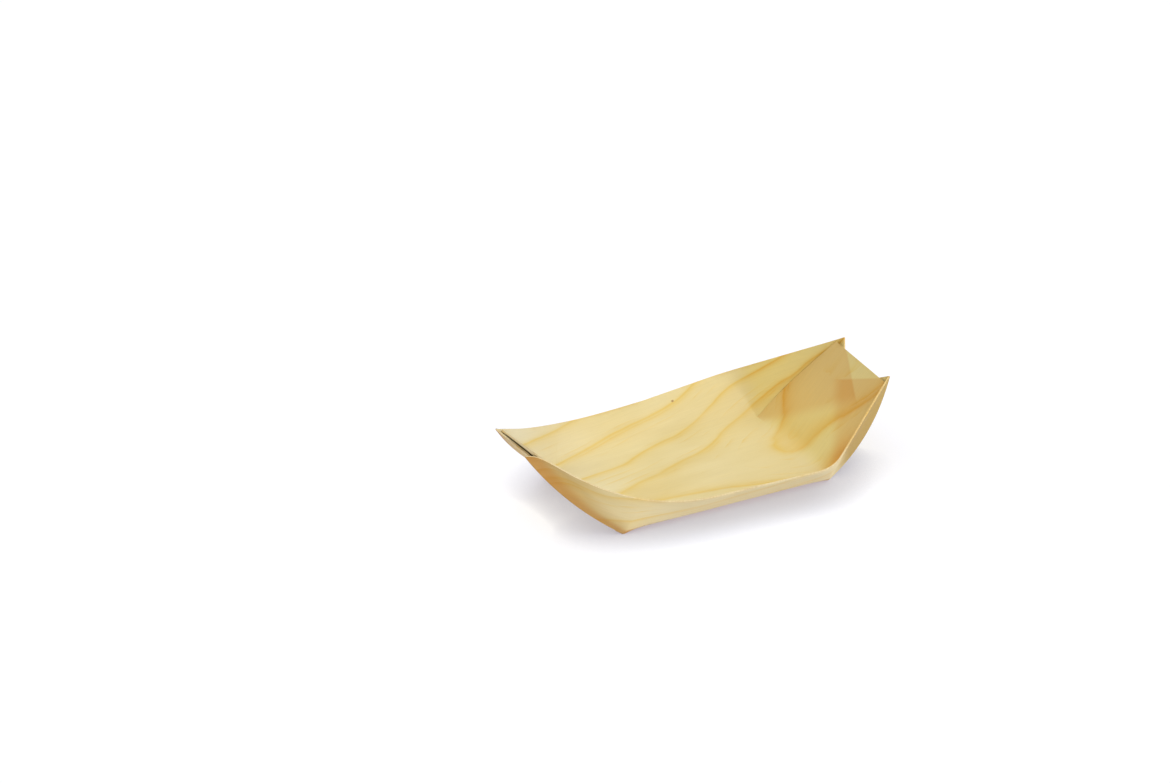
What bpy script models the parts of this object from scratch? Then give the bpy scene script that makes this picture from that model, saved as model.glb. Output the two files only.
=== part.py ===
"""A wooden snack boat: one sheet of pine veneer, slit at its ends, folded up and held by spots of glue.

Metres, +Z up. X runs along the boat and Y across it, and the underside of the flat base lies on Z = 0.
At each end the middle of the sheet folds up as a tongue. The two flaps beside it stay joined to the side
walls, wrap round behind the tongue and cross there, and the corners of the sheet stand up as horns.
"""

import math

import bmesh
import bpy
import numpy as np

# Sheet
veneer_thickness = 0.0007

# Flat base, between the four corners where the slits end
base_length = 0.0982
base_width = 0.0616

# Soft bends, as far as each reaches to either side of its fold line at the middle of that line
side_bend_reach = 0.0050
end_bend_reach = 0.0067
bend_fade = 0.8
least_bend_reach = 0.000001

# Rim of the side walls at mid-length
rim_width = 0.0878
rim_height = 0.0146

# Open end, at +X: where its rim turns, how softly, and its horns
open_turn_reach = 0.0420
open_turn_width = 0.0956
open_turn_height = 0.0159
open_turn_softness = 0.0076
open_horn_reach = 0.0848
open_horn_gap = 0.0381
open_horn_height = 0.0355
open_horn_twist = 0.0003

# Pinched end, at -X: its horns stand closer and higher, and one is higher than the other
pinched_turn_reach = 0.0461
pinched_turn_width = 0.0840
pinched_turn_height = 0.0138
pinched_turn_softness = 0.0373
pinched_horn_reach = 0.0848
pinched_horn_gap = 0.0309
pinched_horn_height = 0.0390
pinched_horn_twist = -0.0022

# Tongues and flaps
tongue_length = 0.0467
tongue_behind_horns = 0.0010
flap_length = 0.0479
flap_angle = math.radians(36.0)
flap_flat_angle = math.radians(20.0)
flap_lift_off = 1.2
lap_ramp = 0.0080

# Folds from the base's corners to the horns: how far each bows out, at its middle and at its horn
open_far_bow = 0.0036
open_near_bow = 0.0050
pinched_far_bow = 0.0026
pinched_near_bow = 0.0045
pinched_near_horn_bow = 0.0030
hook_tightness = 16
hook_tightness_power = 4
fold_sharpening = 0.8
fold_sharpening_power = 4

# Slits: an opening that lets a tongue's edge pass inside the folded wall
slit_clearance = 0.0003
slit_widening = 1.6

# Glue spots between the plies
glue_thickness = 0.0003
glue_clearance = 0.0001
inner_spot_length = 0.0080
inner_spot_width = 0.0060
inner_spot_shift = 0.0020
outer_spot_length = 0.0056
outer_spot_width = 0.0048
outer_spot_shift = 0.0
spot_edge_roundness = 0.82

# Finishes
pine_colour = (0.80, 0.62, 0.30)
pine_roughness = 0.55
glue_colour = (0.78, 0.66, 0.42)
glue_roughness = 0.35

# Steps of the sheet's mesh
steps_along = 12
steps_across_base = 7
steps_up_wall = 6
steps_up_tongue = 9
steps_round_rim = 8
steps_across_flap = 5
steps_round_fold = 3
step_crowding = 1.6
steps_of_rim_length = 40
edge_search_steps = 20
spot_sides = 20
merge_distance = 0.000001
sharp_edge_angle = math.radians(35.0)

half_base = base_length / 2
half_width = base_width / 2
slit_width = slit_clearance + slit_widening * veneer_thickness
ply_pitch = veneer_thickness + glue_thickness + 2 * glue_clearance
base_level = veneer_thickness / 2
ahead = np.array([1.0, 0, 0])
sideways = np.array([0, 1.0, 0])
corner = np.array([half_base, half_width, base_level])


def unit(vector):
    return vector / np.linalg.norm(vector)


def cross(one, other):
    """The lengths of two flat vectors times the sine of the turn from one to the other."""
    return one[0] * other[1] - one[1] * other[0]


def crowded(count):
    """Fractions from 0 to 1 whose steps get shorter towards 1."""
    return 1 - (1 - np.arange(count + 1) / count) ** step_crowding


def bent(start, before, after, reach, distance):
    """The point at a distance along a line that turns softly at start from one direction to another."""
    if distance <= -reach:
        return start + before * distance
    if distance >= reach:
        return start + after * distance
    share = (distance + reach) / (2 * reach)
    return start - before * reach * (1 - share) ** 2 + after * reach * share**2


def eased(share):
    """A share from 0 to 1, kept in that range, that starts and ends gently."""
    share = min(max(share, 0.0), 1.0)
    return share**2 * (3 - 2 * share)


def bend_reach(full, room):
    """A bend's reach, which fades to nothing as the room beside it does."""
    return max(full * math.tanh(bend_fade * room / full), least_bend_reach)


class Chain:
    """A chain of points, read by a share of its length."""

    def __init__(self, points):
        self.points = points
        self.along = np.concatenate([[0], np.cumsum(np.linalg.norm(np.diff(points, axis=0), axis=1))])

    def at(self, share):
        return np.array([np.interp(share * self.along[-1], self.along, column) for column in self.points.T])


class End:
    """One end of the boat: +1 for the end at +X, -1 for the end at -X. Sides are +1 far and -1 near."""

    def __init__(self, toward, turn, softness, horn, twist, bows):
        self.toward = toward
        self.bows = bows
        self.horns = {side: np.array(horn) + np.array([0, 0, side * twist]) for side in (1, -1)}
        angles = {side: self.angle_behind(self.horns[side]) for side in (1, -1)}
        self.angle = (angles[1] + angles[-1]) / 2
        self.angle_across = (angles[1] - angles[-1]) / (2 * horn[1])
        self.wall_rim = {}
        self.end_rim = {}
        for side in (1, -1):
            self.lay_rim(side, np.array(turn), softness)

    def angle_behind(self, horn):
        """How steeply the tongue rises to pass just behind a horn."""
        run = horn[0] - half_base
        rise = horn[2] - base_level
        return math.atan2(rise, run) + math.asin(tongue_behind_horns / math.hypot(run, rise))

    def up_tongue(self, across):
        """The way up the tongue, which twists a little from one horn to the other."""
        angle = self.angle + self.angle_across * across
        return np.array([math.cos(angle), 0, math.sin(angle)])

    def out_of_tongue(self, across):
        angle = self.angle + self.angle_across * across
        return np.array([math.sin(angle), 0, -math.cos(angle)])

    def lay_rim(self, side, turn, softness):
        """The rim as two chains of points: mid-length to the crease at the turn, then on to the horn."""
        middle = np.array([0, rim_width / 2, rim_height])
        horn = self.horns[side]
        first = turn + unit(middle - turn) * softness
        last = turn + unit(horn - turn) * softness
        fine = np.linspace(0, 1, steps_of_rim_length)[:, None]

        def round_turn(share):
            return first * (1 - share) ** 2 + turn * 2 * share * (1 - share) + last * share**2

        wall = np.vstack([middle + (first - middle) * fine, round_turn(fine[1:] / 2)])
        end = np.vstack([round_turn(0.5 + fine / 2), last + (horn - last) * fine[1:]])
        self.wall_rim[side] = Chain(wall)
        self.end_rim[side] = Chain(end)

    def base_point(self, along, across, side):
        """A point of the base, given as positive distances from its middle."""
        end_room = half_base - along
        side_room = half_width - across
        fold = np.array([half_base, across, base_level])
        reach = bend_reach(end_bend_reach, side_room)
        if end_room < reach:
            return bent(fold, ahead, self.up_tongue(side * across), reach, -end_room)
        fold = np.array([along, half_width, base_level])
        wall = unit(self.wall_rim[side].at(along / half_base) - fold)
        return bent(fold, sideways, wall, bend_reach(side_bend_reach, end_room), -side_room)

    def wall_point(self, along, share, side):
        """A point of the side wall, at a share of the way from just above its fold to the rim."""
        fold = np.array([along, half_width, base_level])
        line = self.wall_rim[side].at(along / half_base) - fold
        height = np.linalg.norm(line)
        distance = slit_width + share * (height - slit_width)
        return bent(fold, sideways, line / height, bend_reach(side_bend_reach, half_base - along), distance)

    def bow_at(self, side, at, turn_share):
        """How far the wall's end bows out of the tongue's plane, at shares of its height and way round."""
        middle, top = self.bows[side]
        fold_bow = 4 * middle * at * (1 - at) + top * at * (2 * at - 1)
        return fold_bow * turn_share ** (2 + hook_tightness * at**hook_tightness_power)

    def fan_point(self, side, turn_share, share):
        """A point of the wall's end, on the line from the base's corner to the rim beyond the turn."""
        line = self.end_rim[side].at(turn_share) - corner
        start = slit_width / np.linalg.norm(line)
        at = start + share * (1 - start)
        out = self.out_of_tongue(side * self.horns[side][1])
        return corner + line * at + out * self.bow_at(side, at, turn_share)

    def flap_frame(self, side):
        """A flap in its own plane: the lean of its fold, and the places of its top and its tip."""
        line = self.horns[side] - corner
        upward = line @ self.up_tongue(side * self.horns[side][1])
        lean = math.atan2(-line[1], upward)
        tip_lean = lean + flap_angle
        top = np.array([-line[1], upward])
        tip = np.array([math.sin(tip_lean), math.cos(tip_lean)]) * flap_length
        return lean, top, tip

    def flap_point(self, side, turn_share, share, ply):
        """A point of a flap, from its fold at 0 to its slit edge at 1; ply counts out from the tongue."""
        lean, top, tip = self.flap_frame(side)
        angle = flap_angle * turn_share
        ray = np.array([math.sin(lean + angle), math.cos(lean + angle)])
        edge = tip - top
        full = cross(top, edge) / cross(ray, edge)
        inward, upward = ray * (slit_width + share * (full - slit_width))
        crossed = np.array([2 * half_width - inward, upward])
        past = min(cross(unit(tip), crossed), cross(crossed - top, unit(edge)))
        level = ply_pitch * (1 + (ply - 1) * eased(1 + past / lap_ramp))
        level = level * math.tanh(flap_lift_off * upward / level)
        out = self.out_of_tongue(side * (half_width - inward))
        fold = self.fan_point(side, 1, share) - corner
        lift = level + (fold @ out - level) * eased(1 - angle / flap_flat_angle)
        return self.tongue_place(side, inward, upward, lift)

    def tongue_place(self, side, inward, upward, lift):
        """A place by its distances in from the base's corner, up the tongue and out of its plane."""
        across = side * (half_width - inward)
        place = corner + self.up_tongue(across) * upward + self.out_of_tongue(across) * lift
        return place - sideways * inward

    def tongue_edge(self, up, side):
        """How far from the middle the wall's end crosses the tongue's plane, some way up the tongue."""
        across = side * self.horns[side][1]
        low = 0.0
        high = 1.0
        for _ in range(edge_search_steps):
            turn_share = (low + high) / 2
            line = self.end_rim[side].at(turn_share) - corner
            at = up / max(line @ self.up_tongue(across), up)
            if line @ self.out_of_tongue(across) * at + self.bow_at(side, at, turn_share) < 0:
                low = turn_share
            else:
                high = turn_share
        return half_width + line[1] * at

    def tongue_point(self, up, across, side):
        """A point of the tongue; across is counted at its root, and the tongue narrows upwards."""
        edge = self.tongue_edge(up, side) if up > slit_width else half_width
        across_here = across * (edge - slit_width) / (half_width - slit_width)
        reach = bend_reach(end_bend_reach, half_width - across)
        fold = np.array([half_base, across_here, base_level])
        return bent(fold, ahead, self.up_tongue(side * across_here), reach, up)

    def lap_centre(self):
        """How far up the tongue the middle of the place lies where both flaps cross."""
        laps = []
        for side in (1, -1):
            lean, top, tip = self.flap_frame(side)
            low = half_width / math.tan(lean + flap_angle)
            high = np.interp(half_width, [top[0], tip[0]], [top[1], tip[1]])
            laps.append((low + high) / 2)
        return sum(laps) / 2

    def placed(self, point, side):
        """A point of this end's quarter, turned to its own end and side of the boat."""
        return point * np.array([self.toward, side, 1])


def add_grid(mesh, rows):
    """Adds the faces between neighbouring rows of points; a missing corner of a face leaves a triangle."""
    made = [[None if p is None else mesh.verts.new(p) for p in row] for row in rows]
    for one, other in zip(made, made[1:]):
        for a, b, c, d in zip(one, one[1:], other[1:], other):
            corners = [v for v in (a, b, c, d) if v is not None]
            if len(corners) > 2:
                mesh.faces.new(corners)


def add_trough(mesh, end, side):
    """Half of the base and of one side wall, from mid-length to the base's corner."""
    alongs = np.append(crowded(steps_along) * (half_base - slit_width), half_base)
    acrosses = crowded(steps_across_base) * (half_width - slit_width)
    shares = np.arange(steps_up_wall + 1) / steps_up_wall
    rows = []
    for along in alongs:
        row = [end.base_point(along, across, side) for across in acrosses]
        row.append(end.base_point(along, half_width, side) if along < half_base else None)
        row += [end.wall_point(along, share, side) for share in shares]
        rows.append([None if p is None else end.placed(p, side) for p in row])
    add_grid(mesh, rows)


def add_tongue(mesh, end, side):
    """Half of a tongue, from its middle to its slit edge."""
    acrosses = crowded(steps_across_base) * (half_width - slit_width)
    ups = (1 - crowded(steps_up_tongue)[::-1]) * tongue_length
    add_grid(mesh, [[end.placed(end.tongue_point(up, a, side), side) for a in acrosses] for up in ups])


def add_wall_end(mesh, end, side, ply):
    """The wall beyond the crease at the turn, round its bowed fold, and the flap that it becomes."""
    shares = np.arange(steps_up_wall + 1) / steps_up_wall
    fan = crowded(steps_round_rim)
    flap = np.arange(1, steps_across_flap + 1) / steps_across_flap
    columns = [[end.fan_point(side, turn, share) for share in shares] for turn in fan[:-1]]
    before = columns[-1]
    fold = [end.fan_point(side, 1, share) for share in shares]
    after = [end.flap_point(side, flap[0], share, ply) for share in shares]
    for step in range(1, steps_round_fold + 1):
        part = step / (steps_round_fold + 1)
        column = []
        for share, first, middle, last in zip(shares, before, fold, after):
            soft = 1 - fold_sharpening * share**fold_sharpening_power
            first = middle + (first - middle) * soft
            last = middle + (last - middle) * soft
            column.append(first * (1 - part) ** 2 + middle * 2 * part * (1 - part) + last * part**2)
        columns.append(column)
    columns.append(after)
    columns += [[end.flap_point(side, turn, share, ply) for share in shares] for turn in flap[1:]]
    add_grid(mesh, [[end.placed(p, side) for p in column] for column in columns])


def veneer_sheet(ends, material):
    """The folded sheet, as a surface down the middle of the veneer, with Solidify for its thickness."""
    mesh = bmesh.new()
    for end in ends:
        for side in (1, -1):
            inner_ply = side == end.toward
            add_trough(mesh, end, side)
            add_tongue(mesh, end, side)
            add_wall_end(mesh, end, side, 1 if inner_ply else 2)
    bmesh.ops.remove_doubles(mesh, verts=mesh.verts, dist=merge_distance)
    bmesh.ops.recalc_face_normals(mesh, faces=mesh.faces)
    sheet = add_object("veneer_sheet", mesh, material)
    solidify = sheet.modifiers.new("veneer", "SOLIDIFY")
    solidify.thickness = veneer_thickness
    solidify.offset = 0
    solidify.use_even_offset = True


def glue_spot(name, end, ply, length, width, shift, material):
    """A squeezed drop of glue on the outer face of a ply, in the middle of the crossed flaps."""
    side = end.toward
    mesh = bmesh.new()
    rings = []
    for level, size in ((-0.5, spot_edge_roundness), (0, 1), (0.5, spot_edge_roundness)):
        ring = []
        for k in range(spot_sides):
            turn = 2 * math.pi * k / spot_sides
            inward = half_width - shift - math.cos(turn) * size * length / 2
            upward = end.lap_centre() + math.sin(turn) * size * width / 2
            lift = (ply - 0.5) * ply_pitch + level * glue_thickness
            ring.append(mesh.verts.new(end.placed(end.tongue_place(side, inward, upward, lift), side)))
        rings.append(ring)
    for low, high in zip(rings, rings[1:]):
        for k in range(spot_sides):
            n = (k + 1) % spot_sides
            mesh.faces.new((low[k], low[n], high[n], high[k]))
    mesh.faces.new(rings[0])
    mesh.faces.new(rings[-1])
    bmesh.ops.recalc_face_normals(mesh, faces=mesh.faces)
    add_object(name, mesh, material)


def add_object(name, mesh, material):
    data = bpy.data.meshes.new(name)
    mesh.to_mesh(data)
    mesh.free()
    data.materials.append(material)
    data.shade_smooth()
    data.set_sharp_from_angle(angle=sharp_edge_angle)
    made = bpy.data.objects.new(name, data)
    bpy.context.scene.collection.objects.link(made)
    return made


def finish(name, colour, roughness):
    material = bpy.data.materials.new(name)
    material.use_nodes = True
    shader = material.node_tree.nodes["Principled BSDF"]
    shader.inputs["Base Color"].default_value = (*colour, 1)
    shader.inputs["Roughness"].default_value = roughness
    shader.inputs["Metallic"].default_value = 0
    return material


def main():
    for old in list(bpy.data.objects):
        bpy.data.objects.remove(old, do_unlink=True)
    open_end = End(
        1,
        (open_turn_reach, open_turn_width / 2, open_turn_height),
        open_turn_softness,
        (open_horn_reach, open_horn_gap / 2, open_horn_height),
        open_horn_twist,
        {1: (open_far_bow, 0), -1: (open_near_bow, 0)},
    )
    pinched_end = End(
        -1,
        (pinched_turn_reach, pinched_turn_width / 2, pinched_turn_height),
        pinched_turn_softness,
        (pinched_horn_reach, pinched_horn_gap / 2, pinched_horn_height),
        pinched_horn_twist,
        {1: (pinched_far_bow, 0), -1: (pinched_near_bow, pinched_near_horn_bow)},
    )
    veneer_sheet((open_end, pinched_end), finish("pine_veneer", pine_colour, pine_roughness))
    for label, end in (("open_end", open_end), ("pinched_end", pinched_end)):
        glue = finish(f"{label}_inner_glue", glue_colour, glue_roughness)
        glue_spot(f"{label}_inner_glue", end, 1, inner_spot_length, inner_spot_width, inner_spot_shift, glue)
        glue = finish(f"{label}_outer_glue", glue_colour, glue_roughness)
        glue_spot(f"{label}_outer_glue", end, 2, outer_spot_length, outer_spot_width, outer_spot_shift, glue)


main()
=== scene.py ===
"""The looks of a wooden snack boat: pine veneer with growth lines, raw edges and glue, in soft light.

Every point of the folded sheet also keeps its place on the flat sheet, so the growth lines of the wood
run unbroken over the folds, as they do in a boat that is folded from one sheet.
"""

import math

import bmesh
import bpy
import numpy as np
from mathutils import Matrix, Vector


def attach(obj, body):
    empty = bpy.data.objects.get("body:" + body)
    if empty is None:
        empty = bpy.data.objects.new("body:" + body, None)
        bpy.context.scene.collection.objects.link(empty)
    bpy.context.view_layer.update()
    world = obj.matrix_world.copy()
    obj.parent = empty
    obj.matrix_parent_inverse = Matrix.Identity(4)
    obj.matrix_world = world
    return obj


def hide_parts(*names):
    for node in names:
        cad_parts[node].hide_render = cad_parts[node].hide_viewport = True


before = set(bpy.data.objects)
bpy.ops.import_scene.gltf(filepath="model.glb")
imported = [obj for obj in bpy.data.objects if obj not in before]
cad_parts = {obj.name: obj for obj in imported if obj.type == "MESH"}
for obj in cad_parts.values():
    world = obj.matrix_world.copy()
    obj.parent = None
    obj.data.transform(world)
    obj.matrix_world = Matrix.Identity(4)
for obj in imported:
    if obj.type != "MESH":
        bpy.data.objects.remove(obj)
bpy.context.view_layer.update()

# Sheet; lengths are in metres unless a heading says otherwise
veneer_thickness = 0.0007
sheet_half_width = 0.0506

# Flat base and the soft bends round it
base_length = 0.0982
base_width = 0.0616
side_bend_reach = 0.0050
end_bend_reach = 0.0067
bend_fade = 0.8
least_bend_reach = 0.000001

# Rim of the side walls at mid-length
rim_width = 0.0878
rim_height = 0.0146

# Each end: where its rim turns, how softly, its horns, and how much higher one horn stands
open_turn = (0.0420, 0.0478, 0.0159)
open_turn_softness = 0.0076
open_horn = (0.0848, 0.01905, 0.0355)
open_horn_twist = 0.0003
pinched_turn = (0.0461, 0.0420, 0.0138)
pinched_turn_softness = 0.0373
pinched_horn = (0.0848, 0.01545, 0.0390)
pinched_horn_twist = -0.0022

# Tongues and flaps
tongue_length = 0.0467
tongue_top_inset = 0.0005
tongue_behind_horns = 0.0010
tongue_edge_gap = 0.0008
flap_length = 0.0479
flap_angle = math.radians(36.0)
flap_flat_angle = math.radians(20.0)
flap_lift_off = 1.2
lap_ramp = 0.0045
edge_pinch = 0.40
edge_pinch_power = 4
pinch_start = 0.0050
pinch_ramp = 0.0040
hook_tightness = 16
hook_tightness_power = 4
fold_sharpening = 0.8
fold_sharpening_power = 4
slit_notch = 0.0002
slit_opening_length = 0.0040
ply_gap = 0.0005
ply_pitch = veneer_thickness + ply_gap

# How far each fold bows out at its middle and at its horn, on the far side and on the near side
open_fold_bows = {1: (0.0036, 0), -1: (0.0050, 0)}
pinched_fold_bows = {1: (0.0026, 0), -1: (0.0045, 0.0030)}

# Steps of the sheet's mesh
steps_along = 44
steps_across_base = 26
steps_up_wall = 18
steps_up_tongue = 36
steps_round_rim = 36
steps_across_flap = 20
steps_round_fold = 8
step_crowding = 1.6
steps_of_rim_length = 80
edge_search_steps = 24
merge_distance = 0.000001
sharp_edge_angle = math.radians(38.0)

# Camera, as the photograph was taken: a long lens, with the boat right of the picture's middle
picture_width = 1170
camera_turn = math.radians(-28.0)
camera_rise = math.radians(28.6)
camera_distance = 3.0
camera_aim = Vector((0, 0, 0.015))
camera_right_shift = -0.0450
camera_up_shift = 0.0222
pixels_per_metre = 2370.0
sensor_width = 36.0

# Growth lines, from the heart outwards: flat places in millimetres that each year's line passes
growth_lines = {
    0.45: [(82, 3)],
    1: [
        (74, 33), (65, 26.5), (59.4, 17.9), (50, 12.1), (43.3, 4.9), (42.2, -0.5), (47, -4.6),
        (58.9, -6.8), (68.9, -10.1), (78.9, -16.2), (87, -21),
    ],
    2: [
        (-46, -8), (-33, -0.7), (-22, 4.3), (-10, 7.3), (3, 12.3), (15, 16), (23, 21), (32, 28.5),
        (42, 32.9), (51.8, 37.2), (62.3, 42.4), (75.6, 46.2), (90, 49.1),
        (-30, -14), (-5, -16), (17, -20.5), (50, -31), (90, -40),
    ],
    3: [
        (-58, 13), (-37, 18.5), (-20, 20.2), (-14, 24.3), (0, 29.3), (8, 31), (20, 35.2), (30, 39.7),
        (39, 44.3), (48, 46.2), (57.5, 47.9), (68.5, 49.5),
        (-80, 4), (-78, -14), (-50, -26), (-10, -30), (30, -37), (60, -45),
    ],
    4: [
        (-68, 30), (-50, 32.5), (-33, 36), (-20, 39.8), (-7, 42.2), (7, 44.2), (17, 46.3),
        (-70, -34), (-30, -41), (10, -46),
    ],
    5: [(-70, 43.5), (-50, 46.8), (-60, -47)],
}

# Slack of the lines at those places, a guard against the logarithm of 0, and the grain's slope and knot
guide_slack = 60.0
tiny_square = 1e-9
millimetres = 1000.0
grain_slope = 0.07
pin_knot = (13.5, 46.3)

# How far the growth lines wave and ripple, in years, and how they come and go within a year
wave_years = 0.14
ripple_years = 0.05
late_line_power = 12
late_shade_power = 4
late_line_share = 0.62
early_line_power = 24
least_line_strength = 0.65
faint_lines_per_year = 4
faint_line_shift = 0.35
faint_line_power = 5

# Streaks along the grain: length and width in millimetres, and the seed and detail of their noise
wave_streaks = (50, 12, 1, 3.0)
ripple_streaks = (8, 2, 2, 3.0)
line_strength_streaks = (30, 20, 3, 3.0)
faint_line_streaks = (40, 9, 4, 3.0)
fibre_streaks = (22, 0.7, 5, 5.0)
fine_fibre_streaks = (5, 0.16, 6, 3.0)
pore_streaks = (2.2, 0.13, 7, 1.0)
patch_streaks = (45, 16, 8, 2.0)
nick_streaks = (0.5, 0.5, 9, 3.0)
worn_edge_streaks = (12, 6, 10, 3.0)

# Middle of that noise, and the noise from which and to which such streaks come in
noise_middle = 0.5
line_strength_noise = (0.25, 0.6)
faint_line_noise = (0.45, 0.7)
pore_noise = (0.66, 0.76)
patch_noise = (0.3, 0.7)
nick_noise = (0.35, 0.65)
worn_edge_noise = (0.4, 0.65)
cloud_noise = (0.35, 0.7)

# Where the flaps behind a tongue end, in millimetres up and across it, and the lean of their slit edges
flaps_crossing = (88.0, -3.0)
flap_top_corners = ((95.8, 11.0), (95.8, -16.5))
flap_slit_lean = math.radians(49.4)
slit_edge_insets = (-4.0, 2.5)
slit_edge_blur = 0.16
flap_edge_fade = (-0.5, 0.7)
tongue_fade = (0.4, 0.6)

# Colours of the pine inside the boat, outside it and on its raw edges, of a pin knot and of the glue
pale_pine = (0.785, 0.665, 0.35)
deep_pine = (0.735, 0.605, 0.285)
golden_pine = (0.805, 0.67, 0.325)
silvery_pine = (0.71, 0.645, 0.445)
# Painted warm shade: the open end lies in shade, lit yellow by bounced light and light through the wood
open_end_warm_shade_pine = (0.83, 0.68, 0.255)
pale_outside = (0.93, 0.78, 0.425)
deep_outside = (0.89, 0.72, 0.36)
pale_raw_edge = (0.79, 0.66, 0.38)
deep_raw_edge = (0.71, 0.56, 0.30)
knot_brown = (0.42, 0.24, 0.09)
glue_amber = (0.80, 0.64, 0.36)
glue_brown = (0.66, 0.48, 0.22)

# Tints that the wood is multiplied by
growth_line_tint = (0.965, 0.815, 0.37)
# Growth lines drawn stronger and oranger at the open end, partly painted light through the thin wood
open_end_lit_through_line_tint = (0.95, 0.71, 0.36)
worn_edge_tint = (0.96, 0.91, 0.82)
open_top_tint = (0.91, 0.90, 0.92)
# Painted shade: tongues darker where flaps lie behind, as less light comes through the thin wood
ply_shade_tint = (0.87, 0.58, 0.33)
# Painted shade: the open end's near inner corner, where tongue and wall meet, darker and oranger
corner_shade_tint = (0.90, 0.64, 0.30)
pinched_outside_tint = (0.93, 0.89, 0.77)
pinched_top_tint = (0.96, 0.91, 0.80)
# Painted shade on the outer face at the open end
open_outside_shade_tint = (0.56, 0.45, 0.23)
side_fold_tint = (0.78, 0.53, 0.30)
# These two: the wood's own darker colour at the pinched end's bend, partly painted shade of the rounded
# fold
fold_brown_and_shade_tint = (0.84, 0.76, 0.64)
fold_line_brown_and_shade_tint = (0.86, 0.68, 0.50)
open_raw_edge_tint = (1.0, 0.88, 0.62)

# Stretches of the flat sheet, in millimetres from its middle, over which its wood or painted shade
# changes
golden_stretch = (5, 40)
silvery_stretch = (12, 75)
open_end_stretch = (45, 55)
open_top_stretch = (64, 92)
# Painted shade of the open end's near inner corner, across and along the flat sheet
corner_shade_across = (17, 29)
corner_shade_start = (42, 58)
corner_shade_end = (58, 76)
pinched_outside_stretch = (28, 70)
pinched_top_stretch = (58, 72)
pinched_corner_stretch = (44, 52)
open_outside_shade_stretch = (48, 62)
open_raw_edge_stretch = (46, 60)
worn_rim_stretch = (48.6, 50.5)
worn_end_stretch = (93.6, 95.7)

# How far a fold's darker colour, partly painted shade, and the knot's brown reach, in millimetres, and
# the lean of the end folds
side_fold_reach = (0.8, 2.6)
side_fold_end = (-2, 2)
fold_brown_and_shade_reach = (1.5, 8)
fold_line_reach = (0.6, 3.5)
end_fold_lean = (0.92, 0.39)
knot_reach = (0.3, 0.9)
knot_squash = 1.8

# Shares of those colours, tints and lines
golden_share = 0.7
open_end_warm_shade_share = 0.85
ply_shade_share = 0.25
open_end_ply_shade_share = 0.2
corner_shade_end_fade = 0.9
faint_line_share = 0.6
open_end_faint_line_share = 0.4
open_end_lit_through_line_share = 0.6
outside_faint_line_share = 0.8
outside_line_share = 0.75
raw_edge_line_share = 0.6

# How fibres, pores and lines show in the bare wood's shade, roughness and relief
fibre_shade = 0.11
fine_fibre_shade = 0.07
pore_shade = 0.07
wood_roughness = 0.54
fibre_roughness = 0.22
line_gloss = 0.06
pore_roughness = 0.1
worn_edge_roughness = 0.1
fibre_height = 0.6
fine_fibre_height = 0.4
line_height = 0.15
pore_depth = 0.5
wood_relief = 0.30
raw_edge_relief = 1.6
wood_relief_depth = 0.00012
wood_gloss = 0.35

# Set glue
glue_cloud_scale = 900.0
glue_cloud_detail = 3.0
glue_roughness = 0.24
glue_cloud_roughness = 0.2
glue_relief = 0.2
glue_relief_depth = 0.0001

# Floor: its own white, a glow that whitens it for the camera, dimmed beside the boat as a painted shadow
floor_reach = 3.0
floor_white = (0.505, 0.52, 0.64, 1)
floor_glow = (0.475, 0.465, 0.385)
no_glow = (0, 0, 0)
painted_shadow_reach = 0.018
painted_shadow_power = 1.6
painted_shadow_samples = 4

# Lamps: turn from the front towards +X and rise, in degrees, level, and spread in degrees.
# The table light stands for what a white table throws back up.
lamps_on_boat = {
    "front_light": (0, 55, 0.27, 50),
    "low_front_light": (0, 5, 0.14, 50),
    "right_light": (45, 20, 0.33, 50),
    "back_light": (180, 55, 0.28, 50),
    "table_light": (0, -90, 0.86, 140),
}
lamps_on_floor = {
    "shadow_light": (215, 69, 0.12, 46),
    "floor_light": (0, 90, 0.56, 46),
}
shadowless_lamp = "floor_light"
world_level = 0.42

half_base = base_length / 2
half_width = base_width / 2
base_level = veneer_thickness / 2
sheet_half_length = half_base + tongue_length


def unit(vector):
    return vector / np.linalg.norm(vector[:3])


def crowded(count):
    """Fractions from 0 to 1 whose steps get shorter towards 1."""
    return 1 - (1 - np.arange(count + 1) / count) ** step_crowding


def eased(share):
    """A share from 0 to 1, kept in that range, that starts and ends gently."""
    share = min(max(share, 0.0), 1.0)
    return share**2 * (3 - 2 * share)


def curved(first, middle, last, share):
    """The place at a share of a soft curve from first to last that leans towards middle."""
    return first * (1 - share) ** 2 + middle * 2 * share * (1 - share) + last * share**2


def bend_reach(full, room):
    """A bend's reach, which fades to nothing as the room beside it does."""
    return max(full * math.tanh(bend_fade * room / full), least_bend_reach)


def bent(start, before, after, reach, distance):
    """The point at a distance along a line that turns softly at start from one direction to another."""
    if distance <= -reach:
        return start + before * distance
    if distance >= reach:
        return start + after * distance
    share = (distance + reach) / (2 * reach)
    return start - before * reach * (1 - share) ** 2 + after * reach * share**2


# A sheet point is five numbers: its folded place x, y, z and its place u, v on the flat sheet.
ahead = np.array([1.0, 0, 0, 1.0, 0])
sideways = np.array([0, 1.0, 0, 0, 1.0])
corner = np.array([half_base, half_width, base_level, half_base, half_width])
slit_end = np.array([sheet_half_length, open_horn[1] + tongue_top_inset])


class Rim:
    """A stretch of the rim as a chain of sheet points, read by its share of the length."""

    def __init__(self, places, start):
        steps = np.linalg.norm(np.diff(places, axis=0), axis=1)
        self.along = np.concatenate([[0], np.cumsum(steps)])
        self.length = self.along[-1]
        edge = np.full(len(places), sheet_half_width)
        self.points = np.column_stack([places, start + self.along, edge])

    def at(self, share):
        return np.array([np.interp(share * self.length, self.along, column) for column in self.points.T])


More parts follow.
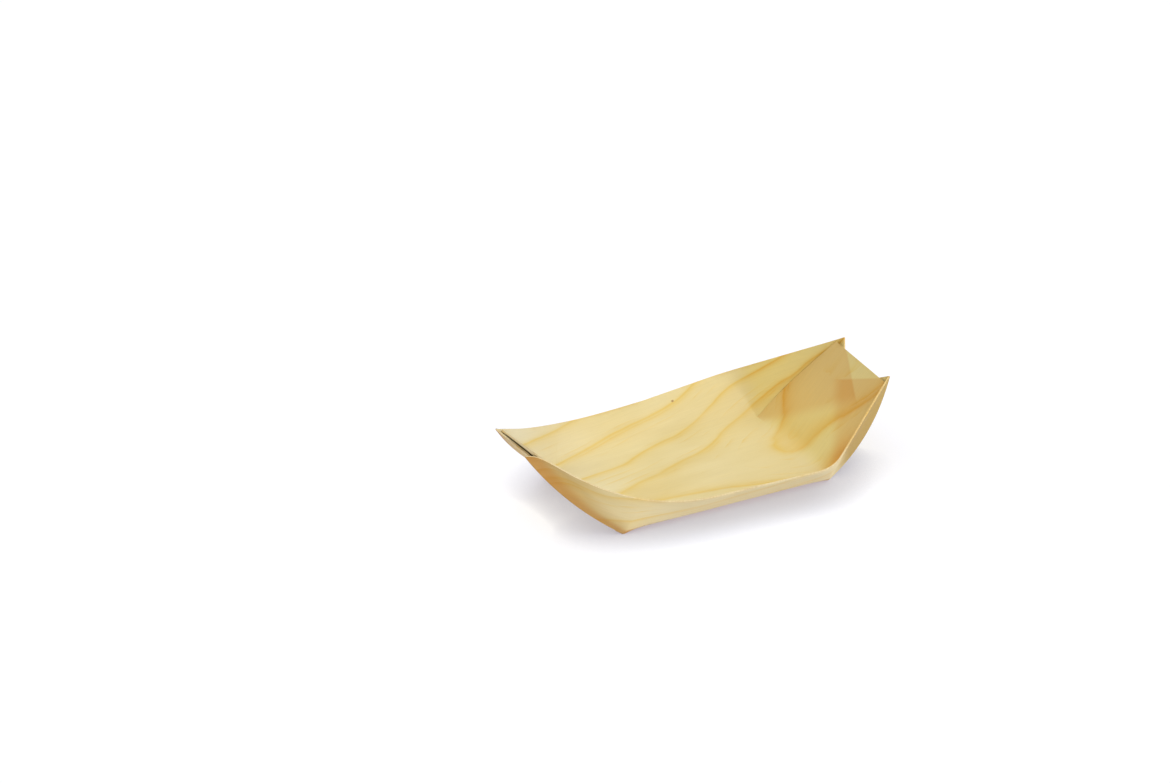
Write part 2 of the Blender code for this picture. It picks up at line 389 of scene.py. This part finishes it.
class End:
    """One end of the boat: +1 for the open end at +X, -1 for the pinched end at -X."""

    def __init__(self, toward, turn, softness, horn, twist, bows):
        self.toward = toward
        self.bows = bows
        self.horns = {side: np.array(horn) + np.array([0, 0, side * twist]) for side in (1, -1)}
        angles = [self.angle_behind(self.horns[side]) for side in (1, -1)]
        self.angle = sum(angles) / 2
        self.angle_across = (angles[0] - angles[1]) / (2 * horn[1])
        self.wall_rim = {}
        self.end_rim = {}
        for side in (1, -1):
            self.lay_rim(side, np.array(turn), softness)

    def angle_behind(self, horn):
        """How steeply the tongue rises to pass just behind a horn."""
        run = horn[0] - half_base
        rise = horn[2] - base_level
        return math.atan2(rise, run) + math.asin(tongue_behind_horns / math.hypot(run, rise))

    def up_tongue(self, across):
        """The way up the tongue, which twists a little from one horn to the other."""
        angle = self.angle + self.angle_across * across
        return np.array([math.cos(angle), 0, math.sin(angle), 1.0, 0])

    def out_of_tongue(self, across):
        angle = self.angle + self.angle_across * across
        return np.array([math.sin(angle), 0, -math.cos(angle), 0, 0])

    def lay_rim(self, side, turn, softness):
        """The rim in two chains: mid-length to the crease at the turn, and the crease to the horn."""
        middle = np.array([0, rim_width / 2, rim_height])
        horn = self.horns[side]
        first = turn + unit(middle - turn) * softness
        last = turn + unit(horn - turn) * softness
        fine = np.linspace(0, 1, steps_of_rim_length)[:, None]

        to_crease = curved(first, turn, last, fine[1:] / 2)
        from_crease = curved(first, turn, last, 0.5 + fine / 2)
        wall = np.vstack([middle + (first - middle) * fine, to_crease])
        end = np.vstack([from_crease, last + (horn - last) * fine[1:]])
        self.wall_rim[side] = Rim(wall, 0)
        self.end_rim[side] = Rim(end, self.wall_rim[side].length)
        stretch = sheet_half_length / self.end_rim[side].points[-1, 3]
        self.wall_rim[side].points[:, 3] *= stretch
        self.end_rim[side].points[:, 3] *= stretch

    def base_point(self, along, across, side):
        end_room = half_base - along
        reach = bend_reach(end_bend_reach, half_width - across)
        fold = np.array([half_base, across, base_level, half_base, across])
        if end_room < reach:
            return bent(fold, ahead, self.up_tongue(side * across), reach, -end_room)
        fold = np.array([along, half_width, base_level, along, half_width])
        wall = unit(self.wall_rim[side].at(along / half_base) - fold)
        reach = bend_reach(side_bend_reach, end_room)
        return bent(fold, sideways, wall, reach, across - half_width)

    def wall_point(self, along, share, side):
        """A point of the side wall, at a share of the way from just above its fold to the rim."""
        fold = np.array([along, half_width, base_level, along, half_width])
        line = self.wall_rim[side].at(along / half_base) - fold
        height = np.linalg.norm(line[:3])
        distance = slit_notch + share * (height - slit_notch)
        reach = bend_reach(side_bend_reach, half_base - along)
        return bent(fold, sideways, line / height, reach, distance)

    def bow_at(self, side, at, turn_share):
        """How far the wall's end bows out of the tongue's plane, by its height and way round."""
        middle, top = self.bows[side]
        fold_bow = 4 * middle * at * (1 - at) + top * at * (2 * at - 1)
        return fold_bow * turn_share ** (2 + hook_tightness * at**hook_tightness_power)

    def tongue_edge(self, up, side):
        """How far from the middle the wall's end crosses the tongue's plane, some way up the tongue."""
        across = side * self.horns[side][1]
        low = 0.0
        high = 1.0
        for _ in range(edge_search_steps):
            turn_share = (low + high) / 2
            line = self.end_rim[side].at(turn_share) - corner
            at = up / max(line[:3] @ self.up_tongue(across)[:3], up)
            if line @ self.out_of_tongue(across) * at + self.bow_at(side, at, turn_share) < 0:
                low = turn_share
            else:
                high = turn_share
        return half_width + line[1] * at

    def fan_point(self, side, turn_share, share):
        """A point of the wall's end, on the line from the base's corner to the rim beyond the turn."""
        line = self.end_rim[side].at(turn_share) - corner
        start = slit_notch / np.linalg.norm(line[:3])
        at = start + share * (1 - start)
        out = self.out_of_tongue(side * self.horns[side][1])
        return corner + line * at + out * self.bow_at(side, at, turn_share)

    def flap_point(self, side, turn_share, share, ply):
        """A point of a flap, from its fold at 0 to its slit edge at 1, in a ply behind the tongue."""
        line = self.horns[side] - corner[:3]
        upward = line @ self.up_tongue(side * self.horns[side][1])[:3]
        lean = math.atan2(-line[1], upward)
        angle = flap_angle * turn_share
        top = np.array([math.sin(lean), math.cos(lean)]) * math.hypot(line[1], upward)
        tip = np.array([math.sin(lean + flap_angle), math.cos(lean + flap_angle)]) * flap_length
        ray = np.array([math.sin(lean + angle), math.cos(lean + angle)])
        edge = tip - top
        full = (top[0] * edge[1] - top[1] * edge[0]) / (ray[0] * edge[1] - ray[1] * edge[0])
        distance = slit_notch + share * (full - slit_notch)
        inward = ray[0] * distance
        upward = ray[1] * distance
        beyond = 2 * half_width - inward
        past_slit = upward * math.sin(lean + flap_angle) - beyond * math.cos(lean + flap_angle)
        past_end = edge[1] * (beyond - top[0]) - edge[0] * (upward - top[1])
        past_end = past_end / math.hypot(*edge)
        level = ply_pitch * (1 + (ply - 1) * eased(1 + min(past_slit, past_end) / lap_ramp))
        across = side * (half_width - inward)
        beside_glue = eased((abs(across) - pinch_start) / pinch_ramp)
        level *= 1 - edge_pinch * beside_glue * share**edge_pinch_power
        level *= math.tanh(flap_lift_off * upward / level)
        fold = self.fan_point(side, 1, share) - corner
        out = self.out_of_tongue(across)
        lift = level + (fold @ out - level) * eased(1 - angle / flap_flat_angle)
        place = corner[:3] + self.up_tongue(across)[:3] * upward + out[:3] * lift
        place[1] -= inward
        end_edge = self.end_rim[side].points[-1, 3:]
        end_edge = end_edge + (slit_end - end_edge) * turn_share
        return np.append(place, corner[3:] + (end_edge - corner[3:]) * distance / full)

    def tongue_point(self, up, across, side):
        """A point of the tongue; across is counted at its root, and the tongue narrows upwards."""
        root = half_width - slit_notch
        edge = self.tongue_edge(up, side) if up > slit_notch else half_width
        edge -= tongue_edge_gap + (slit_notch - tongue_edge_gap) * math.exp(-up / slit_opening_length)
        across_here = across * edge / root
        fold = np.array([half_base, across_here, base_level, half_base, across_here])
        reach = bend_reach(end_bend_reach, half_width - across)
        return bent(fold, ahead, self.up_tongue(side * across_here), reach, up)

    def placed(self, point, side):
        """A point of this end's quarter, turned to its own end and side of the boat."""
        return point * np.array([self.toward, side, 1, self.toward, side])


class FlatSheet:
    """The folded sheet's mesh; "flat" keeps each point's flat place and marks the tongues."""

    def __init__(self):
        self.mesh = bmesh.new()
        self.flat = self.mesh.verts.layers.float_vector.new("flat")

    def add_point(self, point, tongue):
        vert = self.mesh.verts.new(point[:3])
        vert[self.flat] = (point[3], point[4], tongue)
        return vert

    def add_rows(self, rows, tongue=0):
        """Adds the faces between neighbouring rows; a missing corner of a face leaves a triangle."""
        made = [[None if p is None else self.add_point(p, tongue) for p in row] for row in rows]
        for one, other in zip(made, made[1:]):
            for a, b, c, d in zip(one, one[1:], other[1:], other):
                corners = [v for v in (a, b, c, d) if v is not None]
                if len(corners) > 2:
                    self.mesh.faces.new(corners)

    def add_trough(self, end, side):
        """Half of the base and of one side wall, from mid-length to the base's corner."""
        alongs = np.append(crowded(steps_along) * (half_base - slit_notch), half_base)
        acrosses = crowded(steps_across_base) * (half_width - slit_notch)
        shares = np.arange(steps_up_wall + 1) / steps_up_wall
        rows = []
        for along in alongs:
            row = [end.base_point(along, across, side) for across in acrosses]
            row.append(end.base_point(along, half_width, side) if along < half_base else None)
            row += [end.wall_point(along, share, side) for share in shares]
            rows.append([None if p is None else end.placed(p, side) for p in row])
        self.add_rows(rows)

    def add_tongue(self, end, side):
        """Half of a tongue, from its middle to its slit edge."""
        acrosses = crowded(steps_across_base) * (half_width - slit_notch)
        ups = (1 - crowded(steps_up_tongue)[::-1]) * tongue_length
        rows = [[end.placed(end.tongue_point(up, a, side), side) for a in acrosses] for up in ups]
        self.add_rows(rows, tongue=1)

    def add_wall_end(self, end, side):
        """The wall beyond the crease at the turn, round its bowed fold, and the flap that it becomes."""
        ply = 1 if side == end.toward else 2
        shares = np.arange(steps_up_wall + 1) / steps_up_wall
        flap = np.arange(1, steps_across_flap + 1) / steps_across_flap
        turns = crowded(steps_round_rim)[:-1]
        columns = [[end.fan_point(side, turn, share) for share in shares] for turn in turns]
        before = columns[-1]
        fold = [end.fan_point(side, 1, share) for share in shares]
        after = [end.flap_point(side, flap[0], share, ply) for share in shares]
        for step in range(1, steps_round_fold + 1):
            part = step / (steps_round_fold + 1)
            column = []
            for share, first, middle, last in zip(shares, before, fold, after):
                soft = 1 - fold_sharpening * share**fold_sharpening_power
                first = middle + (first - middle) * soft
                last = middle + (last - middle) * soft
                column.append(curved(first, middle, last, part))
            columns.append(column)
        columns.append(after)
        columns += [[end.flap_point(side, turn, share, ply) for share in shares] for turn in flap[1:]]
        self.add_rows([[end.placed(p, side) for p in column] for column in columns])

    def finished(self, name):
        """The mesh object, with the seams of its stretches joined and its face turned into the boat."""
        bmesh.ops.remove_doubles(self.mesh, verts=self.mesh.verts, dist=merge_distance)
        bmesh.ops.recalc_face_normals(self.mesh, faces=self.mesh.faces)
        middle = min(self.mesh.faces, key=lambda face: face.calc_center_median().length)
        if middle.normal.z < 0:
            bmesh.ops.reverse_faces(self.mesh, faces=self.mesh.faces)
        data = bpy.data.meshes.new(name)
        self.mesh.to_mesh(data)
        self.mesh.free()
        made = bpy.data.objects.new(name, data)
        bpy.context.scene.collection.objects.link(made)
        return made


def folded_sheet(finishes):
    """The whole veneer sheet, thickened, with finishes for its inner face, outer face and raw edges."""
    sheet = FlatSheet()
    open_end = End(1, open_turn, open_turn_softness, open_horn, open_horn_twist, open_fold_bows)
    pinched_end = End(
        -1, pinched_turn, pinched_turn_softness, pinched_horn, pinched_horn_twist, pinched_fold_bows
    )
    for end in (open_end, pinched_end):
        for side in (1, -1):
            sheet.add_trough(end, side)
            sheet.add_tongue(end, side)
            sheet.add_wall_end(end, side)
    boat = sheet.finished("folded_pine_sheet")
    for finish in finishes:
        boat.data.materials.append(finish)
    solidify = boat.modifiers.new("veneer", "SOLIDIFY")
    solidify.thickness = veneer_thickness
    solidify.offset = 0
    solidify.use_even_offset = True
    solidify.material_offset = 1
    solidify.material_offset_rim = 2
    thickened = boat.evaluated_get(bpy.context.evaluated_depsgraph_get())
    made = bpy.data.meshes.new_from_object(thickened)
    boat.modifiers.clear()
    boat.data = made
    made.name = boat.name
    made.shade_smooth()
    made.set_sharp_from_angle(angle=sharp_edge_angle)
    flat = np.empty(3 * len(made.vertices))
    made.attributes["flat"].data.foreach_get("vector", flat)
    growth = made.attributes.new("growth", "FLOAT", "POINT")
    growth.data.foreach_set("value", growth_at(flat.reshape(-1, 3)[:, :2] * millimetres))
    return boat


def growth_at(places):
    """The year of growth at flat places in millimetres: a thin plate bent through the guide points."""
    guides = np.array([place for line in growth_lines.values() for place in line], float)
    years = np.array([year for year, line in growth_lines.items() for _ in line], float)

    def bending(places):
        squares = ((places[:, None] - guides[None]) ** 2).sum(axis=2)
        return squares * np.log(squares + tiny_square) / 2

    def tilting(places):
        return np.column_stack([np.ones(len(places)), places])

    count = len(guides)
    plate = np.block([
        [bending(guides) + guide_slack * np.eye(count), tilting(guides)],
        [tilting(guides).T, np.zeros((3, 3))],
    ])
    pulls = np.linalg.solve(plate, np.concatenate([years, np.zeros(3)]))
    return bending(places) @ pulls[:count] + tilting(places) @ pulls[count:]


class Value:
    """A shader socket; sums and products of it add Math nodes to its tree."""

    def __init__(self, nodes, socket):
        self.nodes = nodes
        self.socket = socket

    def maths(self, operation, *others):
        values = dict(enumerate((self, *others)))
        return self.nodes.add("ShaderNodeMath", {"operation": operation}, values)

    def __add__(self, other):
        return self.maths("ADD", other)

    def __mul__(self, other):
        return self.maths("MULTIPLY", other)

    def __sub__(self, other):
        return self.maths("SUBTRACT", other)

    def __rsub__(self, other):
        return -self + other

    def __truediv__(self, other):
        return self.maths("DIVIDE", other)

    def __pow__(self, power):
        return self.maths("POWER", power)

    def __abs__(self):
        return self.maths("ABSOLUTE")

    def __neg__(self):
        return self * -1

    __radd__ = __add__
    __rmul__ = __mul__

    def rise(self, low, high):
        """0 up to low, 1 from high on, and an eased rise in between."""
        return self.nodes.add(
            "ShaderNodeMapRange", {"interpolation_type": "SMOOTHSTEP"}, {0: self, 1: low, 2: high}
        )


class Nodes:
    """A tree whose nodes are all added through one method."""

    def __init__(self, tree):
        self.tree = tree

    def add(self, kind, settings, sockets, output=0):
        node = self.tree.nodes.new(kind)
        for key, value in settings.items():
            setattr(node, key, value)
        for key, value in sockets.items():
            self.set(node, key, value)
        return Value(self, node.outputs[output])

    def set(self, node, key, value):
        if isinstance(value, Value):
            self.tree.links.new(value.socket, node.inputs[key])
        else:
            node.inputs[key].default_value = value

    def seen_rays(self):
        """1 for rays that show a thing to the camera, straight or by gloss or glass, and else 0."""
        seen = 0
        for rays in ("Is Camera Ray", "Is Glossy Ray", "Is Transmission Ray"):
            seen = self.add("ShaderNodeLightPath", {}, {}, rays).maths("MAXIMUM", seen)
        return seen


class Finish(Nodes):
    """A material's nodes, with the ways in which its colours are mixed."""

    def __init__(self, name):
        self.material = bpy.data.materials.new(name)
        self.material.use_nodes = True
        super().__init__(self.material.node_tree)
        self.shader = self.tree.nodes["Principled BSDF"]

    def mix(self, share, one, other, blend="MIX"):
        """A colour mixed, or with another blend laid over, by a share from 0 to 1."""
        sockets = {0: share}
        # Sockets 6 and 7 of a Mix node are its two colours, and output 2 is the mixed one.
        for place, colour in {6: one, 7: other}.items():
            sockets[place] = colour if isinstance(colour, Value) else (*colour, 1)
        return self.add("ShaderNodeMix", {"data_type": "RGBA", "blend_type": blend}, sockets, 2)

    def dye(self, share, wood, tint):
        """Wood multiplied by a tint, by a share from 0 to 1."""
        return self.mix(share, wood, tint, "MULTIPLY")

    def streaks(self, u, v, length, width, seed, detail):
        """Noise round 0.5 in streaks along the grain, of a length and a width in millimetres."""
        where = self.add("ShaderNodeCombineXYZ", {}, {0: u / length, 1: v / width, 2: seed})
        return self.add("ShaderNodeTexNoise", {}, {"Vector": where, "Scale": 1.0, "Detail": detail})


class Grain:
    """What all faces of the sheet share: flat place in millimetres, growth lines, fibres and wear."""

    def __init__(self, finish):
        flat = finish.add("ShaderNodeAttribute", {"attribute_name": "flat"}, {}, "Vector")
        self.u = finish.add("ShaderNodeSeparateXYZ", {}, {0: flat}, "X") * millimetres
        self.v = finish.add("ShaderNodeSeparateXYZ", {}, {0: flat}, "Y") * millimetres
        self.tongue = finish.add("ShaderNodeSeparateXYZ", {}, {0: flat}, "Z")
        along = self.u + self.v * grain_slope
        across = self.v - self.u * grain_slope

        year = finish.add("ShaderNodeAttribute", {"attribute_name": "growth"}, {}, 2)
        year = year + (finish.streaks(along, across, *wave_streaks) - noise_middle) * wave_years
        year = year + (finish.streaks(along, across, *ripple_streaks) - noise_middle) * ripple_years
        season = year.maths("FRACT")
        late_wood = season**late_line_power * late_line_share
        late_wood = late_wood + season**late_shade_power * (1 - late_line_share)
        early_wood = (1 - season) ** early_line_power
        strength = finish.streaks(along, across, *line_strength_streaks).rise(*line_strength_noise)
        strength = strength * (1 - least_line_strength) + least_line_strength
        self.lines = late_wood.maths("MAXIMUM", early_wood) * strength
        faint_lines = (year * faint_lines_per_year + faint_line_shift).maths("FRACT") ** faint_line_power
        broken = finish.streaks(along, across, *faint_line_streaks).rise(*faint_line_noise)
        self.faint_lines = faint_lines * broken

        self.fibres = finish.streaks(along, across, *fibre_streaks)
        self.fine_fibres = finish.streaks(along, across, *fine_fibre_streaks)
        self.pores = finish.streaks(along, across, *pore_streaks).rise(*pore_noise)
        self.patches = finish.streaks(along, across, *patch_streaks).rise(*patch_noise)
        edges = abs(self.v).rise(*worn_rim_stretch).maths("MAXIMUM", abs(self.u).rise(*worn_end_stretch))
        wear = finish.streaks(self.u, self.v, *worn_edge_streaks).rise(*worn_edge_noise)
        self.worn_edge = edges * wear


def flaps_behind(grain):
    """How many flaps lie behind a place of a tongue, for the painted shade of light that comes less
    through its thin wood there.
    """
    up = abs(grain.u)
    across = grain.v * grain.u.maths("SIGN")
    slit_sine = math.sin(flap_slit_lean)
    slit_cosine = math.cos(flap_slit_lean)
    flaps = 0
    for side, top_corner, inset in zip((1, -1), flap_top_corners, slit_edge_insets):
        past_slit = (up - half_base * millimetres) * slit_sine
        past_slit = past_slit + (across * side - half_width * millimetres) * slit_cosine
        past_slit = (past_slit - inset) * slit_edge_blur
        run = np.subtract(flaps_crossing, top_corner)
        inward = side * np.array([run[1], -run[0]]) / np.hypot(*run)
        past_end = (up - top_corner[0]) * inward[0] + (across - top_corner[1]) * inward[1]
        flaps = past_slit.maths("MINIMUM", past_end).rise(*flap_edge_fade) + flaps
    return flaps * grain.tongue.rise(*tongue_fade)


def set_wood(finish, grain, wood, relief=1.0):
    """Ends a wood finish: wear, fibres and pores in its colour, its roughness and its relief."""
    fibres = grain.fibres - noise_middle
    fine_fibres = grain.fine_fibres - noise_middle
    wood = finish.dye(grain.worn_edge, wood, worn_edge_tint)
    shade = 1 + fibres * fibre_shade + fine_fibres * fine_fibre_shade - grain.pores * pore_shade
    wood = finish.add("ShaderNodeVectorMath", {"operation": "SCALE"}, {0: wood, "Scale": shade})
    roughness = wood_roughness + fibres * fibre_roughness - grain.lines * line_gloss
    roughness = roughness + grain.pores * pore_roughness + grain.worn_edge * worn_edge_roughness
    height = grain.fibres * fibre_height + grain.fine_fibres * fine_fibre_height
    height = height + grain.lines * line_height - grain.pores * pore_depth
    bump = {"Strength": wood_relief * relief, "Distance": wood_relief_depth, "Height": height}
    finish.set(finish.shader, "Base Color", wood)
    finish.set(finish.shader, "Roughness", roughness)
    finish.set(finish.shader, "Normal", finish.add("ShaderNodeBump", {}, bump))
    finish.set(finish.shader, "Specular IOR Level", wood_gloss)
    return finish.material


def pine_inside():
    """The inner face: golden towards the open end, silvery towards the pinched one, a pin knot, and
    painted shade.
    """
    finish = Finish("pine_inside")
    grain = Grain(finish)
    open_end = grain.u.rise(*open_end_stretch)
    wood = finish.mix(grain.patches, pale_pine, deep_pine)
    wood = finish.mix(grain.u.rise(*golden_stretch) * golden_share, wood, golden_pine)
    wood = finish.mix((-grain.u).rise(*silvery_stretch), wood, silvery_pine)
    # Painted warm shade over the open end
    wood = finish.mix(open_end * open_end_warm_shade_share, wood, open_end_warm_shade_pine)
    wood = finish.dye(grain.u.rise(*open_top_stretch), wood, open_top_tint)
    # Painted shade of the light through a tongue, less where one or two flaps lie behind it
    flaps = flaps_behind(grain) * (ply_shade_share + open_end * open_end_ply_shade_share)
    wood = finish.dye(flaps, wood, ply_shade_tint)
    # Painted shade in the open end's near inner corner, between the tongue and the wall
    painted_corner_shade = (-grain.v).rise(*corner_shade_across) * grain.u.rise(*corner_shade_start)
    painted_corner_shade = painted_corner_shade * (1 - grain.u.rise(*corner_shade_end) * corner_shade_end_fade)
    wood = finish.dye(painted_corner_shade, wood, corner_shade_tint)
    faint_lines = grain.faint_lines * (faint_line_share + open_end * open_end_faint_line_share)
    wood = finish.dye(faint_lines, wood, growth_line_tint)
    wood = finish.dye(grain.lines, wood, growth_line_tint)
    # The growth lines are real; their extra strength at the open end is painted light through the wood
    wood = finish.dye(grain.lines * open_end * open_end_lit_through_line_share, wood, open_end_lit_through_line_tint)
    away_u = grain.u - pin_knot[0]
    away_v = grain.v - pin_knot[1]
    away = (away_u * away_u + away_v * away_v * knot_squash) ** 0.5
    wood = finish.mix(1 - away.rise(*knot_reach), wood, knot_brown)
    return set_wood(finish, grain, wood)


def pine_outside():
    """The outer face: darker and oranger along the folds, partly as painted shade, and in painted shade
    at the open end.
    """
    finish = Finish("pine_outside")
    grain = Grain(finish)
    wood = finish.mix(grain.patches, pale_outside, deep_outside)
    wood = finish.dye((-grain.u).rise(*pinched_outside_stretch), wood, pinched_outside_tint)
    wood = finish.dye((-grain.u).rise(*pinched_top_stretch), wood, pinched_top_tint)
    # Painted shade over the outer face of the open end
    wood = finish.dye(grain.u.rise(*open_outside_shade_stretch), wood, open_outside_shade_tint)
    above_corner = abs(grain.v) - half_width * millimetres
    beyond_corner = abs(grain.u) - half_base * millimetres
    side_fold = (1 - abs(above_corner).rise(*side_fold_reach)) * (1 - beyond_corner.rise(*side_fold_end))
    wood = finish.dye(side_fold, wood, side_fold_tint)
    # Along the pinched end's outer fold: the bent wood's brown, and painted shade where the rounded fold
    # turns away
    from_end_fold = abs(above_corner * end_fold_lean[0] - beyond_corner * end_fold_lean[1])
    pinched_corner = (-grain.u).rise(*pinched_corner_stretch)
    fold_brown_and_shade = (1 - from_end_fold.rise(*fold_brown_and_shade_reach)) * pinched_corner
    wood = finish.dye(fold_brown_and_shade, wood, fold_brown_and_shade_tint)
    fold_line = (1 - from_end_fold.rise(*fold_line_reach)) * pinched_corner
    wood = finish.dye(fold_line, wood, fold_line_brown_and_shade_tint)
    wood = finish.dye(grain.faint_lines * outside_faint_line_share, wood, growth_line_tint)
    wood = finish.dye(grain.lines * outside_line_share, wood, growth_line_tint)
    return set_wood(finish, grain, wood)


def pine_raw_edge():
    """The sheet's cut edges: nicked, with a stronger relief, and yellower at the open end."""
    finish = Finish("pine_raw_edge")
    grain = Grain(finish)
    nicks = finish.streaks(grain.u, grain.v, *nick_streaks).rise(*nick_noise)
    wood = finish.mix(nicks, pale_raw_edge, deep_raw_edge)
    wood = finish.dye(grain.u.rise(*open_raw_edge_stretch), wood, open_raw_edge_tint)
    wood = finish.dye(grain.lines * raw_edge_line_share, wood, growth_line_tint)
    return set_wood(finish, grain, wood, raw_edge_relief)


def set_glue():
    """Glue squeezed between the plies: amber, smooth, with a few cloudy spots."""
    finish = Finish("set_glue")
    place = finish.add("ShaderNodeTexCoord", {}, {}, "Object")
    noise = {"Vector": place, "Scale": glue_cloud_scale, "Detail": glue_cloud_detail}
    cloud = finish.add("ShaderNodeTexNoise", {}, noise)
    bump = {"Strength": glue_relief, "Distance": glue_relief_depth, "Height": cloud}
    finish.set(finish.shader, "Base Color", finish.mix(cloud.rise(*cloud_noise), glue_amber, glue_brown))
    finish.set(finish.shader, "Roughness", glue_roughness + cloud * glue_cloud_roughness)
    finish.set(finish.shader, "Normal", finish.add("ShaderNodeBump", {}, bump))
    return finish.material


def studio_floor():
    """A white floor that keeps the boat's shadow and looks white to the camera, with a painted shadow
    near the boat.
    """
    corners = [(-1, -1, 0), (1, -1, 0), (1, 1, 0), (-1, 1, 0)]
    mesh = bpy.data.meshes.new("floor")
    mesh.from_pydata([Vector(place) * floor_reach for place in corners], [], [range(len(corners))])
    floor = bpy.data.objects.new("floor", mesh)
    bpy.context.scene.collection.objects.link(floor)
    finish = Finish("white_floor")
    finish.set(finish.shader, "Base Color", floor_white)
    finish.set(finish.shader, "Roughness", 1.0)
    finish.set(finish.shader, "Specular IOR Level", 0.0)
    fade = {"Distance": painted_shadow_reach}
    # Painted shadow: the camera's glow dims where the boat stands close above the floor
    open_sky = finish.add("ShaderNodeAmbientOcclusion", {"samples": painted_shadow_samples}, fade, "AO")
    white = finish.mix(finish.seen_rays() * open_sky**painted_shadow_power, no_glow, floor_glow)
    glow = finish.add("ShaderNodeEmission", {}, {"Color": white})
    matt = Value(finish, finish.shader.outputs["BSDF"])
    both = finish.add("ShaderNodeAddShader", {}, {0: matt, 1: glow})
    finish.set(finish.tree.nodes["Material Output"], "Surface", both)
    mesh.materials.append(finish.material)
    return floor


def studio_light(floor, parts):
    """Even light from the world, soft lamps on the boat alone, and two on the floor alone."""
    scene = bpy.context.scene
    scene.view_settings.view_transform = "Standard"
    scene.world = bpy.data.worlds.new("studio")
    scene.world.use_nodes = True
    nodes = Nodes(scene.world.node_tree)
    background = nodes.tree.nodes["Background"]
    nodes.set(background, "Color", (1, 1, 1, 1))
    nodes.set(background, "Strength", nodes.seen_rays() * (1 - world_level) + world_level)
    for name, settings in lamps_on_boat.items():
        add_lamp(name, *settings, parts, parts)
    for name, settings in lamps_on_floor.items():
        add_lamp(name, *settings, [floor], parts)
    bpy.data.lights[shadowless_lamp].use_shadow = False


def add_lamp(name, turn, rise, level, spread, lit, parts):
    """A soft lamp that lights only some objects, and in whose light only the parts cast shadows."""
    turn = math.radians(turn)
    rise = math.radians(rise)
    data = bpy.data.lights.new(name, "SUN")
    data.angle = math.radians(spread)
    data.energy = math.pi * level
    lamp = bpy.data.objects.new(name, data)
    lamp.rotation_euler = direction(turn, rise).to_track_quat("Z", "Y").to_euler()
    bpy.context.scene.collection.objects.link(lamp)
    lamp.light_linking.receiver_collection = bpy.data.collections.new(name)
    lamp.light_linking.blocker_collection = bpy.data.collections.new(name + "_blockers")
    for thing in lit:
        lamp.light_linking.receiver_collection.objects.link(thing)
    for thing in parts:
        lamp.light_linking.blocker_collection.objects.link(thing)


def direction(turn, rise):
    """The way out from the boat at a turn from its front towards +X and a rise above the table."""
    level = math.cos(rise)
    return Vector((math.sin(turn) * level, -math.cos(turn) * level, math.sin(rise)))


def camera():
    """The photograph's camera, aimed beside the boat, which stands right of the picture's middle."""
    back = direction(camera_turn, camera_rise)
    right = Vector((math.cos(camera_turn), math.sin(camera_turn), 0))
    up = back.cross(right)
    data = bpy.data.cameras.new("camera")
    data.sensor_width = sensor_width
    data.lens = sensor_width * pixels_per_metre * camera_distance / picture_width
    made = bpy.data.objects.new("camera", data)
    place = camera_aim + back * camera_distance + right * camera_right_shift + up * camera_up_shift
    axes = Matrix((right, up, back)).transposed().to_4x4()
    made.matrix_world = Matrix.Translation(place) @ axes
    bpy.context.scene.collection.objects.link(made)
    bpy.context.scene.camera = made


boat = folded_sheet((pine_inside(), pine_outside(), pine_raw_edge()))
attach(boat, "root")
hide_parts("veneer_sheet")
glue = set_glue()
for name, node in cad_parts.items():
    if name.endswith("glue"):
        node.data.materials.clear()
        node.data.materials.append(glue)
studio_light(studio_floor(), [boat, *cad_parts.values()])
camera()
